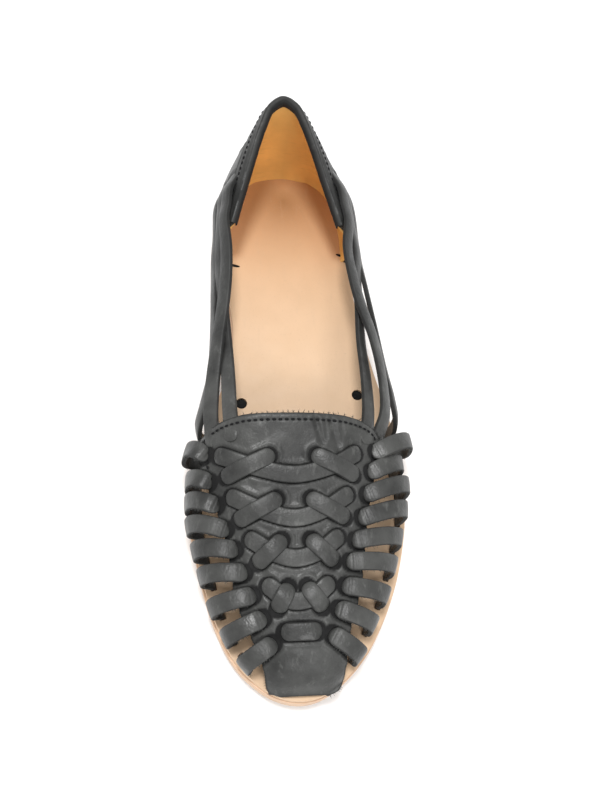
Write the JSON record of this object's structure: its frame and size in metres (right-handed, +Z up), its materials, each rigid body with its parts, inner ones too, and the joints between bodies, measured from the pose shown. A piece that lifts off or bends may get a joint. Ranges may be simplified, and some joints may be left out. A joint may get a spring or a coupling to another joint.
{
  "type": "huarache sandal",
  "caption": "Flat woven leather huarache sandal for a left foot, with a laced front, thong loops down both sides, open side straps and a closed heel counter on a low heel.",
  "frame": {"origin": "centre of the bounding box, on the plane that the sole stands on", "axes": "+Y from the toe to the heel, +Z up, -X the medial side (the big toe's side of this left shoe)"},
  "size_m": [0.0958, 0.2478, 0.0663],
  "materials": {
    "black_leather": "charcoal black, soft semi-matt with a light grain and raw fuzzy cut edges",
    "lining_leather": "orange tan, smooth matt",
    "insole_leather": "undyed vegetable tan, smooth, darker under the heel",
    "sole_edge": "undyed sole leather with a pressed edge",
    "heel_stack": "stacked sole leather"
  },
  "bodies": {
    "root": {"outsole": "sole_edge", "heel": "heel_stack", "insole": "insole_leather", "upper": "black_leather", "heel_counter": "black_leather"}
  },
  "joints": []
}
